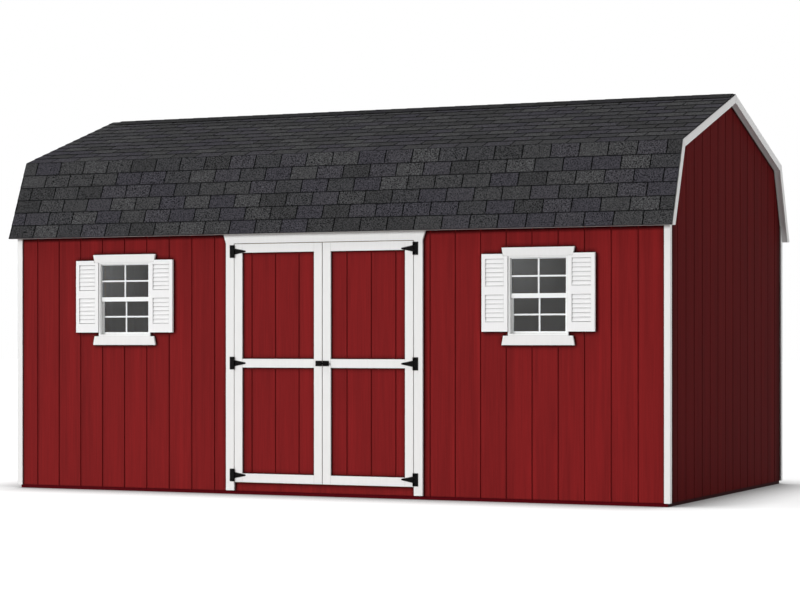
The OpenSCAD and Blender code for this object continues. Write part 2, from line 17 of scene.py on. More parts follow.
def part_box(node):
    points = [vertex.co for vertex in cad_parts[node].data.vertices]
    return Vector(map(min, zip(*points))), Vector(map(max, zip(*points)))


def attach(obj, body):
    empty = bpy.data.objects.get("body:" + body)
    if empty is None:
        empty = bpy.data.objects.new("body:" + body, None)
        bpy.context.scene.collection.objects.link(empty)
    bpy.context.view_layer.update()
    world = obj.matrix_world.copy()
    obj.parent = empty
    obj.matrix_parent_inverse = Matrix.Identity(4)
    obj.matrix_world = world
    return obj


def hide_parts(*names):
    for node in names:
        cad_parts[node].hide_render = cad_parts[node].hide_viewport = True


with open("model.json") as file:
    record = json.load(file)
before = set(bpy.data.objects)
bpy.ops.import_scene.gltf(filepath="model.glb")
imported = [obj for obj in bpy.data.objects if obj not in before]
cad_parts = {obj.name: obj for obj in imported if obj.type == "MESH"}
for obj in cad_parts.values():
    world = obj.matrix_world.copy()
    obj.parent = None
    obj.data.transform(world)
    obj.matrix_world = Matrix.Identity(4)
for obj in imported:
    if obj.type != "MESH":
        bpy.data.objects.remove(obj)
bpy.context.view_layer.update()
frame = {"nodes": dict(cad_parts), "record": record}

MM = 0.001
nodes = frame["nodes"]
slot_of = {part["node"]: part["material_slot"] for part in frame["record"]["subparts"]}
print("solids loaded:", len(nodes))

# %% [markdown]
# The picture was taken from the right of the doors, at chest height, with a long lens held level.
# A level camera keeps the walls upright. The lens is shifted up a little instead of tilted. Its place
# and length were fitted to the corners of the walls and roof and to the spacing of the grooves.

# %% Camera
EYE = (7.764, -17.279, 1.174)
TURN = math.radians(24.33)  # to the left, towards the doors


def put(name, data):
    """A new object in the scene, at the origin."""
    made = bpy.data.objects.new(name, data)
    bpy.context.collection.objects.link(made)
    return made


lens = bpy.data.cameras.new("long_lens")
lens.lens = 103.79
lens.sensor_width = 36
lens.shift_y = 0.0532
lens.clip_end = 300
camera = put("camera", lens)
camera.location = EYE
camera.rotation_euler = (math.radians(90), 0, TURN)
bpy.context.scene.camera = camera
bpy.context.scene.view_settings.view_transform = "Standard"
print("camera distance:", round(camera.location.length, 2))

# %% [markdown]
# Every material and every node tree below is a list of nodes with settings and links. One small
# function adds a node. A second one turns a paint chart's hex colour into the linear colour that
# shaders work in. The others wrap what comes up again and again, such as a sum, a blend of two
# colours, or a cloudy pattern whose cells have a real size in millimetres, so that a wood grain
# stays a wood grain on any board.

# %% Helpers for nodes
def add(tree, kind, inputs=None, **settings):
    """Add one node; an input is a value or a link, by socket name or number. Returns the outputs."""
    made = tree.nodes.new(kind)
    for key, value in settings.items():
        setattr(made, key, value)
    for key, value in (inputs or {}).items():
        if isinstance(value, bpy.types.NodeSocket):
            tree.links.new(value, made.inputs[key])
        else:
            made.inputs[key].default_value = value
    return made.outputs


def linear(code):
    """Linear colour with full alpha from a hex code."""
    parts = [int(code[i:i + 2], 16) / 255 for i in (0, 2, 4)]
    return [*(p / 12.92 if p < 0.0405 else ((p + 0.055) / 1.055) ** 2.4 for p in parts), 1]


def maths(tree, operation, *terms):
    """One sum of values or links."""
    return add(tree, "ShaderNodeMath", dict(enumerate(terms)), operation=operation)[0]


def ramp(tree, value, start, end, low=0.0, high=1.0):
    """low up to start, high from end on, and straight in between."""
    return add(tree, "ShaderNodeMapRange", {0: value, 1: start, 2: end, 3: low, 4: high})[0]


def split(tree, vector):
    """The x, y and z of a vector."""
    return add(tree, "ShaderNodeSeparateXYZ", {0: vector})


def clouds(tree, cell_mm, detail=2):
    """Noise in object space with cells of about this size along x, y and z."""
    place = add(tree, "ShaderNodeTexCoord")["Object"]
    cells = add(tree, "ShaderNodeMapping", {"Vector": place, "Scale": [1 / (c * MM) for c in cell_mm]})
    return add(tree, "ShaderNodeTexNoise", {"Vector": cells[0], "Scale": 1, "Detail": detail})[0]


def blend(tree, share, first, second):
    """Colour between two others."""
    return add(tree, "ShaderNodeMix", {0: share, 6: first, 7: second}, data_type="RGBA")[2]


def relief(tree, height, strength, deep_mm):
    """Bumps that change the light but not the shape."""
    return add(tree, "ShaderNodeBump", {"Height": height, "Strength": strength, "Distance": deep_mm * MM})[0]


def finish(name):
    """An empty material and its tree."""
    made = bpy.data.materials.new(name)
    made.use_nodes = True
    made.node_tree.nodes.clear()
    return made, made.node_tree


def surface(tree, **inputs):
    """Close a material with one principled surface; underscores in the names stand for spaces."""
    sockets = {key.replace("_", " "): value for key, value in inputs.items()}
    shader = add(tree, "ShaderNodeBsdfPrincipled", sockets)
    add(tree, "ShaderNodeOutputMaterial", {"Surface": shader[0]})


print("helpers ready")

# %% [markdown]
# Barn red is a flat latex paint on panel siding with a rough-sawn face. The saw leaves upright
# streaks a few millimetres wide, and the paint lies a little thicker on some boards, so the red
# drifts slowly from board to board. Two noise patterns stretched along z give both. Where a board
# meets the trim or the eaves the red turns darker: painted shade, found by the ambient occlusion
# node. In the grooves that painted shade is held back; the faces of a groove carry `groove`. The
# back of a panel stays bare wood; its faces carry `bare_back`. The floor frame below the siding is
# a darker red. The end walls stand in the shade, so they get a darker copy of the same paint as
# painted shade, and the rim's faces on the end walls get a darker red for the same reason. On the
# end walls the painted shade is deepest within a hand's width of the corner boards.

# %% Red paint
OPEN_AIR = 0.98  # occlusion on open board
WALL_REACH_MM, WALL_SHUT = 40, 0.64  # reach of the painted shade in the siding's corners, and the occlusion at which it is full
CORNER_SHADE_START, CORNER_SHADE_END = 1310 * MM, 1500 * MM  # from the middle of an end wall, where the painted shade along the corner boards starts and where it is deepest


def corners(tree, reach_mm, shut=0.45):
    """Share of unshaded colour: 0 deep in a corner, where the painted shade is full, 1 on open board further
    than this from anything.
    """
    occlusion = add(tree, "ShaderNodeAmbientOcclusion", {"Distance": reach_mm * MM}, samples=6)["AO"]
    return ramp(tree, occlusion, shut, OPEN_AIR)


def red_paint(name, thin, thick, painted_shade, gloss, groove_paint=0.41, corner_board_shade=0.0, at_ends=None):
    """Red latex with painted shade in its corners. groove_paint is the least share of unshaded paint
    in the grooves, corner_board_shade how much deeper the painted shade is along the upright edges of
    an end wall, and at_ends the colour of a painted shade on faces that look along the ridge."""
    made, tree = finish(name)
    drift = clouds(tree, (75, 75, 2600))
    streaks = clouds(tree, (11, 11, 340), 3)
    share = ramp(tree, add(tree, "ShaderNodeMix", {0: 0.5, 2: drift, 3: streaks})[0], 0.3, 0.7)
    across = maths(tree, "ABSOLUTE", split(tree, add(tree, "ShaderNodeTexCoord")["Object"])[1])
    # painted shade along the corner boards, deepest at the upright edges of an end wall
    corner_board_shading = ramp(tree, across, CORNER_SHADE_START, CORNER_SHADE_END, 1.0, 1.0 - corner_board_shade)
    milled = add(tree, "ShaderNodeAttribute", attribute_name="groove")["Fac"]
    milled = maths(tree, "MULTIPLY", milled, groove_paint)
    # painted shade in the corners, held back in the grooves; clean here means unshaded
    clean = maths(tree, "MAXIMUM", corners(tree, WALL_REACH_MM, WALL_SHUT), milled)
    clean = maths(tree, "MULTIPLY", clean, corner_board_shading)
    red = blend(tree, clean, linear(painted_shade), blend(tree, share, linear(thin), linear(thick)))
    bare = add(tree, "ShaderNodeAttribute", attribute_name="bare_back")["Fac"]
    red = blend(tree, bare, red, blend(tree, share, linear("C9A778"), linear("B68E5E")))
    # painted shade: faces that look along the ridge, which stand in the shade, turn darker
    if at_ends:
        facing = split(tree, add(tree, "ShaderNodeNewGeometry")["True Normal"])[0]
        red = blend(tree, maths(tree, "ABSOLUTE", facing), red, linear(at_ends))
    surface(tree, Base_Color=red, Roughness=0.62, Specular_IOR_Level=gloss,
            Normal=relief(tree, streaks, 0.35, 0.6))
    return made


# the fourth colour of each paint is its painted shade in the corners
siding_red = red_paint("barn_red_latex_on_siding", "6F1A1B", "892021", "2A0506", 0.03, 0.85)
# a darker copy of the siding's red: painted shade for the end walls, which stand in the shade
shaded_gable_red = red_paint("barn_red_latex_darkened_as_shade_on_end_walls", "4D0F10", "601415", "190303", 0.01, corner_board_shade=0.85)
# the rim's faces on the end walls get a darker red: painted shade
rim_red = red_paint("barn_red_latex_on_rim", "640610", "6E0813", "560510", 0.03, at_ends="260407")
print("paints:", siding_red.name, shaded_gable_red.name, rim_red.name)

# %% [markdown]
# The trim is primed softwood under semi-gloss white latex. It was brushed lengthwise, which leaves
# a faint grain in the coat. Every white turns greyer within reach of a corner: painted shade. The
# soffit strips behind the rake boards stand in the shade, so they get a brighter copy of the trim's
# white with little painted shade: painted light. Window frames are extruded vinyl, smoother and
# slightly glossier. The shutters are moulded vinyl with a shallow wood grain pressed into the mould.

# %% Whites
def white_coat(name, shade, light, painted_shade, reach_mm, cell_mm, gloss, deep):
    """White between two tones along its grain, and greyer within reach of a corner: painted shade."""
    made, tree = finish(name)
    grain = clouds(tree, cell_mm, 3)
    clean = blend(tree, grain, linear(shade), linear(light))
    # painted shade: greyer within reach of a corner
    white = blend(tree, corners(tree, reach_mm), linear(painted_shade), clean)
    surface(tree, Base_Color=white, Roughness=0.5, Coat_Weight=gloss, Coat_Roughness=0.2,
            Normal=relief(tree, grain, deep, 0.3))
    return made


BRUSHED_MM = (14, 14, 160)
# the third colour of each white is its painted shade in the corners
trim_white = white_coat("white_latex_on_trim", "E6E6E5", "EDEDEC", "B0ACAA", 20, BRUSHED_MM, 0.2, 0.15)
# a brighter copy of the trim's white with little painted shade: painted light on the soffit, which stands in
# the shade
brightened_soffit_white = white_coat("white_latex_brightened_on_soffit", "F2F2F1", "F7F7F6", "E4E2E0", 8, BRUSHED_MM, 0.2, 0.15)
window_white = white_coat("white_extruded_vinyl", "F2F3F2", "F8F9F8", "D6D6D5", 12, (90, 90, 90), 0.5, 0.05)
shutter_white = white_coat("white_moulded_vinyl", "EEEEEE", "F4F4F4", "C4C4C4", 8, (9, 9, 120), 0.0, 0.2)
print("whites:", trim_white.name, brightened_soffit_white.name, window_white.name, shutter_white.name)

# %% [markdown]
# Inside, nothing is painted: planed spruce for the framing, plywood for the floor, the roof deck
# and the gussets. Spruce has straight grain along the length of a stick, so there is one material
# for each direction a stick can lie in.

# %% Raw wood
def raw_wood(name, early, late, cell_mm):
    """Fine grain over a broad one five times its size."""
    made, tree = finish(name)
    grain = clouds(tree, cell_mm, 4)
    broad = clouds(tree, [5 * c for c in cell_mm], 1)
    share = ramp(tree, add(tree, "ShaderNodeMix", {0: 0.4, 2: grain, 3: broad})[0], 0.3, 0.7)
    surface(tree, Base_Color=blend(tree, share, linear(early), linear(late)), Roughness=0.7,
            Normal=relief(tree, grain, 0.2, 0.4))
    return made


spruce = {
    axis: raw_wood("planed_spruce_along_" + axis, "D9B886", "BE935C",
                   [420 if a == axis else 8 for a in "xyz"])
    for axis in "xyz"
}
plywood = raw_wood("raw_plywood", "D3B07C", "B98D58", (600, 24, 24))
grain_of = {"floor_joists": "y", "sole_plates": "x", "top_plates": "x", "wall_headers": "x",
            "upper_rafters": "y"}
print("woods:", [made.name for made in spruce.values()], plywood.name)

# %% [markdown]
# Hinges and latch are stamped steel with a black powder coat, which has a fine orange peel.

# %% Steel
powder_black, tree = finish("black_powder_coated_steel")
peel = clouds(tree, (4, 4, 4))  # real orange peel is finer; this coarse it still shows close up
surface(tree, Base_Color=blend(tree, peel, linear("020202"), linear("050505")), Roughness=0.55,
        Specular_IOR_Level=0.05, Normal=relief(tree, peel, 0.2, 0.2))
print("hardware:", powder_black.name)

# %% [markdown]
# The panes are clear float glass; with a dark room behind them they read as dark grey and show a
# pale reflection of the surroundings. The upper left of each window is painted paler, a painted
# reflection: there less light goes through the glass and more of its own pale colour shows. Its
# strength falls off with the distance from that corner of the glass, and an uneven film of dust
# makes the glass a little rough.

# %% Glass
WINDOW_X, GLASS_HALF_W, GLASS_TOP = 1750 * MM, 215 * MM, 1790 * MM
# painted reflection: how much paler the upper left of a pane is, and how far that reaches
PAINTED_REFLECTION, PAINTED_REFLECTION_REACH = 0.11, 420 * MM
float_glass, tree = finish("clear_float_glass")
film = clouds(tree, (260, 260, 420), 1)  # a thin, uneven film of dust
dust = ramp(tree, film, 0.35, 0.65, 0.03, 0.07)
place = split(tree, add(tree, "ShaderNodeTexCoord")["Object"])
from_middle = maths(tree, "MULTIPLY_ADD", maths(tree, "SIGN", place[0]), -WINDOW_X, place[0])
across = maths(tree, "ADD", from_middle, GLASS_HALF_W)
below = maths(tree, "SUBTRACT", GLASS_TOP, place[2])
away = add(tree, "ShaderNodeCombineXYZ", {0: across, 1: below})[0]
away = add(tree, "ShaderNodeVectorMath", {0: away}, operation="LENGTH")["Value"]
# painted reflection: less light through the glass near its upper left corner
clear = ramp(tree, away, 0.0, PAINTED_REFLECTION_REACH, 1.0 - PAINTED_REFLECTION, 1.0)
surface(tree, Base_Color=linear("B8BBBC"), Roughness=dust, Transmission_Weight=clear, IOR=1.5)
print("panes:", float_glass.name)

# %% [markdown]
# An asphalt shingle is felt soaked in bitumen with stone granules rolled in. The granules come in
# blends, so neighbouring tabs differ: some are a little lighter, some a little blue, and on some the
# dark and light granules show more. Each tab carries a random number called `tab_tint`, which picks
# its blend and how strongly its granules show. Just below the next course each tab is painted dark,
# a painted shadow where that course's butt throws its shade; `under_butt` is the distance down from
# that course. The cut edges have no granules and stay black; those faces carry `black_share`, and
# so do the felt and the caps' upper faces.

# %% Shingle
BLENDS = ["343435", "38383A", "38373C", "3B3B3C", "3C3B3F", "404041"]
DARKEST, LIGHTEST = 0.0, 2.2  # brightness of single granules
CALMEST = 0.6                 # share of that speckle on the calmest tabs
SPECKLE_DRAW = 7.0            # what is left of tab_tint times this is as good as a second draw
# painted shadow below each butt
SHADOW_BAND, SHADOW_BAND_END, SHADOW_BAND_DARK = 4 * MM, 8 * MM, 0.8  # even down to here, gone from here on, how dark
shingle, tree = finish("charcoal_granule_asphalt_shingle")
tint, under, blackened = (add(tree, "ShaderNodeAttribute", attribute_name=name)["Fac"]
                     for name in ("tab_tint", "under_butt", "black_share"))
colour = linear(BLENDS[0])
for step, code in enumerate(BLENDS[1:], 1):
    past = maths(tree, "GREATER_THAN", tint, step / len(BLENDS))
    colour = blend(tree, past, colour, linear(code))
granules = clouds(tree, (8, 8, 8), 2)  # granules are 1 to 2 mm; drawn coarser so that they show
light = ramp(tree, granules, 0.35, 0.65, DARKEST, LIGHTEST)
draw = maths(tree, "FRACT", maths(tree, "MULTIPLY", tint, SPECKLE_DRAW))
light = add(tree, "ShaderNodeMix", {0: ramp(tree, draw, 0.0, 1.0, CALMEST, 1.0), 2: 1.0, 3: light})[0]
colour = add(tree, "ShaderNodeMix", {0: 1.0, 6: colour, 7: light}, data_type="RGBA",
             blend_type="MULTIPLY")[2]
# painted shadow below each butt, and black on cut edges, the felt and the caps' upper faces
dark = maths(tree, "MAXIMUM", ramp(tree, under, SHADOW_BAND, SHADOW_BAND_END, SHADOW_BAND_DARK, 0.0), blackened)
surface(tree, Base_Color=blend(tree, dark, colour, linear("0E0E0E")), Roughness=0.9,
        Specular_IOR_Level=0.03, Normal=relief(tree, granules, 0.6, 1.2))
print("roof:", shingle.name, len(BLENDS), "blends")

# %% [markdown]
# The solids that already have their real shape keep it and only get their finish. Most take the one
# that goes with their material; sticks take the spruce that runs their way.

# %% Finishes on the solids
finish_of = {"siding_red": siding_red, "rim_red": rim_red, "trim_white": trim_white,
             "framing": spruce["z"], "sheathing": plywood, "shingle": shingle,
             "hardware": powder_black, "glass": float_glass, "window_white": window_white,
             "shutter_white": shutter_white}
own_finish = {name: spruce[axis] for name, axis in grain_of.items()}
# the soffit strips get the brighter white: painted light
own_finish["rake_nailers"] = brightened_soffit_white
for name, solid in nodes.items():
    solid.data.materials.clear()
    solid.data.materials.append(own_finish.get(name, finish_of[slot_of[name]]))
print("finished solids:", len(nodes))

# %% [markdown]
# What repeats is made with Geometry Nodes: a tree with named inputs, run once on a base mesh. The
# next helpers start such a tree, end it, and keep its result as a plain mesh, because instances
# and live modifiers don't survive an export.

# %% Helpers for Geometry Nodes
def start_tree(name, inputs):
    """A geometry tree with named inputs; returns the tree and its input sockets by name."""
    tree = bpy.data.node_groups.new(name, "GeometryNodeTree")
    tree.interface.new_socket("Base", in_out="INPUT", socket_type="NodeSocketGeometry")
    for label, kind in inputs.items():
        tree.interface.new_socket(label, in_out="INPUT", socket_type="NodeSocket" + kind)
    tree.interface.new_socket("Finish", in_out="INPUT", socket_type="NodeSocketMaterial")
    tree.interface.new_socket("Result", in_out="OUTPUT", socket_type="NodeSocketGeometry")
    return tree, add(tree, "NodeGroupInput")


def end_tree(tree, shape, coat):
    """Close a tree with plain geometry in one finish."""
    plain = add(tree, "GeometryNodeRealizeInstances", {0: shape})
    dressed = add(tree, "GeometryNodeSetMaterial", {"Geometry": plain[0], "Material": coat})
    add(tree, "NodeGroupOutput", {0: dressed[0]})
    print(tree.name, "tree:", len(tree.nodes), "nodes")


def run_tree(name, base, tree, values):
    """Evaluate a tree on a base mesh and keep the result as a new object with a plain mesh."""
    maker = put(name + "_maker", base)
    modifier = maker.modifiers.new(tree.name, "NODES")
    modifier.node_group = tree
    for socket in tree.interface.items_tree:
        if socket.name in values:
            modifier[socket.identifier] = values[socket.name]
    graph = bpy.context.evaluated_depsgraph_get()
    mesh = bpy.data.meshes.new_from_object(maker.evaluated_get(graph))
    bpy.data.objects.remove(maker)
    return put(name, mesh)


print("tree helpers ready")

# %% [markdown]
# The siding is a panel milled with upright grooves, eight inches apart, so that it looks like
# boards. The panel could be built board by board, but the real one is a single sheet with material
# taken away, so the tree does that: a line of long cutters, subtracted from the sheet.

# %% Groove tree
groove_tree, panel = start_tree("milled_grooves", {
    "First Groove": "Vector", "Step": "Vector", "Grooves": "Int", "Cutter": "Vector"})
cutter = add(groove_tree, "GeometryNodeMeshCube", {"Size": panel["Cutter"]})
row = add(groove_tree, "GeometryNodeMeshLine", {
    "Count": panel["Grooves"], "Start Location": panel["First Groove"], "Offset": panel["Step"]})
cutters = add(groove_tree, "GeometryNodeInstanceOnPoints", {"Points": row[0], "Instance": cutter[0]})
milled = add(groove_tree, "GeometryNodeMeshBoolean", {0: panel["Base"], 1: cutters[0]},
             operation="DIFFERENCE")
end_tree(groove_tree, milled[0], panel["Finish"])

# %% [markdown]
# The groove pattern runs on across the front wall, and each end wall starts its own at the corner.
# A groove is 10 mm wide and cut nearly half through the sheet. On the leaves the pattern is centred
# on the doorway. A solid's mesh is loose triangles, so the cutters work on a welded copy.

# %% Siding
GROOVE_PITCH = 203.2 * MM
GROOVE_W = 10 * MM
GROOVE_DEEP = 5.5 * MM
PLAIN_EDGE = 20 * MM              # no groove this close to the edge of a panel
CUTTER_MID, CUTTER_L = 1.6, 4.0   # longer than the shed is tall
FRONT_GROOVE, END_GROOVE = 75 * MM, -1322.5 * MM  # one groove's place on the long and on the end walls


def welded(name):
    """A clean copy of a solid's mesh, with its loose triangles joined."""
    shape = bmesh.new()
    shape.from_mesh(nodes[name].data)
    bmesh.ops.remove_doubles(shape, verts=shape.verts, dist=0.00001)
    bmesh.ops.dissolve_limit(shape, angle_limit=0.001, verts=shape.verts, edges=shape.edges)
    points = [v.co[:] for v in shape.verts]
    faces = [[v.index for v in f.verts] for f in shape.faces]
    shape.free()
    mesh = bpy.data.meshes.new(name + "_copy")
    mesh.from_pydata(points, [], faces)
    return mesh


def mill(name, body, first, along, out, paint=siding_red):
    """Cut grooves into one panel. along is the axis they are spread over, out the face's direction."""
    low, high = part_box(name)
    count = math.ceil((low[along] + PLAIN_EDGE - first) / GROOVE_PITCH)
    start = first + count * GROOVE_PITCH
    grooves = int((high[along] - PLAIN_EDGE - start) / GROOVE_PITCH) + 1
    across = 1 - along
    place, step, size = Vector((0, 0, CUTTER_MID)), Vector((0, 0, 0)), Vector((0, 0, CUTTER_L))
    place[along], step[along], size[along] = start, GROOVE_PITCH, GROOVE_W
    place[across] = high[across] if out > 0 else low[across]
    size[across] = 2 * GROOVE_DEEP
    piece = run_tree(name + "_grooved", welded(name), groove_tree, {
        "First Groove": place, "Step": step, "Grooves": grooves, "Cutter": size, "Finish": paint})
    faces = piece.data.polygons
    labels = {"bare_back": [face.normal[across] * out < -0.5 for face in faces],
              "groove": [abs(face.center[across] - place[across]) > 1 * MM for face in faces]}
    for label, flags in labels.items():
        layer = piece.data.attributes.new(label, "FLOAT", "FACE")
        layer.data.foreach_set("value", [float(flag) for flag in flags])
    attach(piece, body)
    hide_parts(name)
    print(piece.name, grooves, "grooves", len(piece.data.polygons), "faces")


for name in ("front_siding_left", "front_siding_right", "front_siding_over_door"):
    mill(name, "shed", FRONT_GROOVE, 0, -1)
mill("back_siding", "shed", FRONT_GROOVE, 0, 1)
mill("left_gable_siding", "shed", END_GROOVE, 1, -1, shaded_gable_red)
mill("right_gable_siding", "shed", END_GROOVE, 1, 1, shaded_gable_red)
mill("left_door_panel", "left_door", 0, 0, -1)
mill("right_door_panel", "right_door", 0, 0, -1)

# %% [markdown]
# Shingles are laid in courses from the eave up. Each course overlaps the one below, and its tabs are
# shifted by half a tab, so no slot lies over another. The tree works on a flat field: x along the
# eave, y up the slope. It numbers the tabs and works out each one's course and place in it.

# %% Shingle tree: number the tabs
shingle_tree, field = start_tree("shingle_courses", {
    "Courses": "Int", "Tabs": "Int", "Exposure": "Float", "First Extra": "Float",
    "First Drop": "Float", "Slope Length": "Float", "Tab Pitch": "Float", "Slot": "Float",
    "Thickness": "Float", "Head Lap": "Float", "Half Length": "Float", "First Slot": "Float",
    "Least Tab": "Float", "Felt": "Float", "Seed": "Int"})


def sum_up(operation, first, second=0.0):
    """One sum inside the shingle tree."""
    return maths(shingle_tree, operation, first, second)


number = add(shingle_tree, "GeometryNodeInputIndex")[0]
course = sum_up("FLOOR", sum_up("DIVIDE", sum_up("ADD", number, 0.5), field["Tabs"]))
place = sum_up("SUBTRACT", number, sum_up("MULTIPLY", course, field["Tabs"]))
shift = sum_up("MULTIPLY", sum_up("MODULO", course, 2.0), 0.5)
steps = sum_up("SUBTRACT", sum_up("ADD", place, shift), 2.0)
print("tabs numbered")

# %% [markdown]
# Along the eave a tab runs from slot to slot. At the rakes it is trimmed flush, and where the trimmed
# piece would be a sliver, the tab before it runs on to the rake instead.

# %% Shingle tree: along the eave
left = sum_up("ADD", sum_up("MULTIPLY", steps, field["Tab Pitch"]),
              sum_up("SUBTRACT", field["First Slot"], field["Half Length"]))
right = sum_up("ADD", left, field["Tab Pitch"])
half_slot = sum_up("MULTIPLY", field["Slot"], 0.5)
last_slot = sum_up("SUBTRACT", field["Half Length"], field["Least Tab"])
at_rake = sum_up("MULTIPLY", sum_up("GREATER_THAN", right, last_slot), field["Tab Pitch"])
left_rake = sum_up("MULTIPLY", field["Half Length"], -1.0)
trim_left = sum_up("MAXIMUM", sum_up("ADD", left, half_slot), left_rake)
past_right = sum_up("ADD", sum_up("SUBTRACT", right, half_slot), at_rake)
trim_right = sum_up("MINIMUM", past_right, field["Half Length"])
tab_w = sum_up("SUBTRACT", trim_right, trim_left)
middle = sum_up("MULTIPLY", sum_up("ADD", trim_left, trim_right), 0.5)
kept = sum_up("MULTIPLY", sum_up("GREATER_THAN", tab_w, 0.0), sum_up("LESS_THAN", left, last_slot))
print("tabs trimmed at the rakes")

# %% [markdown]
# Up the slope a course rests on the head of the one below and so leans a little. The first course
# may show more and lie flatter, and the last one ends at the top of the slope.

# %% Shingle tree: up the slope
first = sum_up("LESS_THAN", course, 0.5)
last = sum_up("GREATER_THAN", sum_up("ADD", course, 1.5), field["Courses"])
shown = sum_up("ADD", field["Exposure"], sum_up("MULTIPLY", first, field["First Extra"]))
drop = sum_up("MULTIPLY", first, field["First Drop"])
courses_up = sum_up("MULTIPLY", sum_up("ADD", course, 1.0), field["Exposure"])
next_foot = sum_up("ADD", courses_up, field["First Extra"])
foot = sum_up("SUBTRACT", next_foot, shown)
past_next = sum_up("ADD", sum_up("ADD", next_foot, last), field["Head Lap"])
tab_l = sum_up("SUBTRACT", sum_up("MINIMUM", past_next, field["Slope Length"]), foot)
lap_share = sum_up("DIVIDE", field["Head Lap"], field["Exposure"])
butt = sum_up("MULTIPLY", field["Thickness"], sum_up("ADD", lap_share, 1.0))
rest = sum_up("SUBTRACT", butt, drop)
lean = sum_up("ARCSINE", sum_up("DIVIDE", sum_up("SUBTRACT", field["Thickness"], drop), shown))
print("courses worked out")

# %% [markdown]
# One slab is set at each tab's place and scaled to its size. It keeps the numbers that the shader
# asks for. A black felt lies under the tabs; where it shows in the slots, its black stands in for
# the shade between the tabs: painted shade.

# %% Shingle tree: tabs and felt
def triple(x=0.0, y=0.0, z=0.0):
    """A vector inside the shingle tree."""
    return add(shingle_tree, "ShaderNodeCombineXYZ", {0: x, 1: y, 2: z})[0]


def keep(tree, shape, name, value, domain="POINT"):
    """Keep a number with the shape under this name, for the shader."""
    return add(tree, "GeometryNodeStoreNamedAttribute", {"Geometry": shape, "Name": name, "Value": value},
               data_type="FLOAT", domain=domain)[0]


spots = add(shingle_tree, "GeometryNodePoints", {
    "Count": sum_up("MULTIPLY", field["Courses"], field["Tabs"]),
    "Position": triple(middle, foot, rest)})[0]
chance = add(shingle_tree, "FunctionNodeRandomValue", {"Seed": field["Seed"]})[1]
spots = keep(shingle_tree, spots, "tab_tint", chance)
spots = keep(shingle_tree, spots, "next_foot", sum_up("ADD", next_foot, last))

unit = add(shingle_tree, "GeometryNodeMeshCube", {"Size": (1, 1, 1)})[0]
facing = split(shingle_tree, add(shingle_tree, "GeometryNodeInputNormal")[0])[2]
slab = keep(shingle_tree, unit, "black_share", sum_up("LESS_THAN", facing, 0.5), "FACE")
slab = add(shingle_tree, "GeometryNodeTransform", {"Geometry": slab, "Translation": (0, 0.5, 0.5)})[0]
tabs = add(shingle_tree, "GeometryNodeInstanceOnPoints", {
    "Points": spots, "Selection": kept, "Instance": slab,
    "Rotation": triple(sum_up("MULTIPLY", lean, -1.0)),
    "Scale": triple(tab_w, tab_l, field["Thickness"])})[0]
tabs = add(shingle_tree, "GeometryNodeRealizeInstances", {0: tabs})[0]
height = split(shingle_tree, add(shingle_tree, "GeometryNodeInputPosition")[0])[1]
limit = add(shingle_tree, "GeometryNodeInputNamedAttribute", {"Name": "next_foot"}, data_type="FLOAT")[0]
tabs = keep(shingle_tree, tabs, "under_butt", sum_up("SUBTRACT", limit, height))

half_way = sum_up("MULTIPLY", field["Slope Length"], 0.5)
half_felt = sum_up("MULTIPLY", field["Felt"], 0.5)
whole_length = sum_up("MULTIPLY", field["Half Length"], 2.0)
# the felt is drawn all black; in the slots that black is painted shade
felt = add(shingle_tree, "GeometryNodeTransform", {
    "Geometry": keep(shingle_tree, unit, "black_share", 1.0, "FACE"),
    "Translation": triple(0.0, half_way, half_felt),
    "Scale": triple(whole_length, field["Slope Length"], field["Felt"])})[0]
both = add(shingle_tree, "GeometryNodeJoinGeometry", {0: tabs})[0]
shingle_tree.links.new(felt, both.node.inputs[0])
end_tree(shingle_tree, both, field["Finish"])

# %% [markdown]
# Four fields make the roof: a steep and a shallow one on each side. The roof's corner points in
# (y, z), on top of the deck, are the eave, the knee and the ridge. The first course hangs 5 mm past
# the eave, so that water drips clear of the metal edge.

# %% Shingles of the front
EAVE = Vector((-1601.3, 2014.6)) * MM
KNEE = Vector((-1349.6, 2634.5)) * MM
RIDGE = Vector((0, 3086.1)) * MM
HALF_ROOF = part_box("shingles")[1].x - 5 * MM
TAB_PITCH = 223.1 * MM
PAST_DRIP = 5 * MM
FOOT = EAVE - (KNEE - EAVE).normalized() * PAST_DRIP
every_tab = {
    "Tabs": math.ceil(2 * HALF_ROOF / TAB_PITCH) + 3, "Tab Pitch": TAB_PITCH, "Slot": 9 * MM,
    "Thickness": 3.6 * MM, "Head Lap": 24 * MM, "Half Length": HALF_ROOF, "First Slot": 230 * MM,
    "Least Tab": 30 * MM, "Felt": 1 * MM, "Finish": shingle}
slopes = []
# foot and top, courses, exposure of a course, what the first shows more, how much flatter it lies, seed
for low, high, courses, exposure, extra, drop, seed in (
        (FOOT, KNEE, 6, 111.5 * MM, PAST_DRIP, 0.0, 4),
        (KNEE, RIDGE, 12, 121.8 * MM, 7.5 * MM, 3 * MM, 11)):
    length = (high - low).length
    up = (high - low) / length
    one = run_tree("slope", bpy.data.meshes.new("no_base"), shingle_tree, {
        **every_tab, "Courses": courses, "Exposure": exposure, "First Extra": extra,
        "First Drop": drop, "Slope Length": length, "Seed": seed})
    # columns: along the eave, up the slope, out of the roof, the foot of the slope
    one.data.transform(Matrix(((1, 0, 0, 0), (0, up.x, -up.y, low.x), (0, up.y, up.x, low.y), (0, 0, 0, 1))))
    slopes.append(one)
print("tabs on the front:", sum(len(one.data.polygons) for one in slopes) // 6)

# %% [markdown]
# The back is the front turned half round the upright axis. All four slopes then become one object,
# because one solid stands for the whole shingle layer.

# %% Join the slopes
def joined(name, parts):
    """One object from several, with their places and attributes kept."""
    with bpy.context.temp_override(active_object=parts[0], selected_editable_objects=parts):
        bpy.ops.object.join()
    parts[0].name = name
    return parts[0]


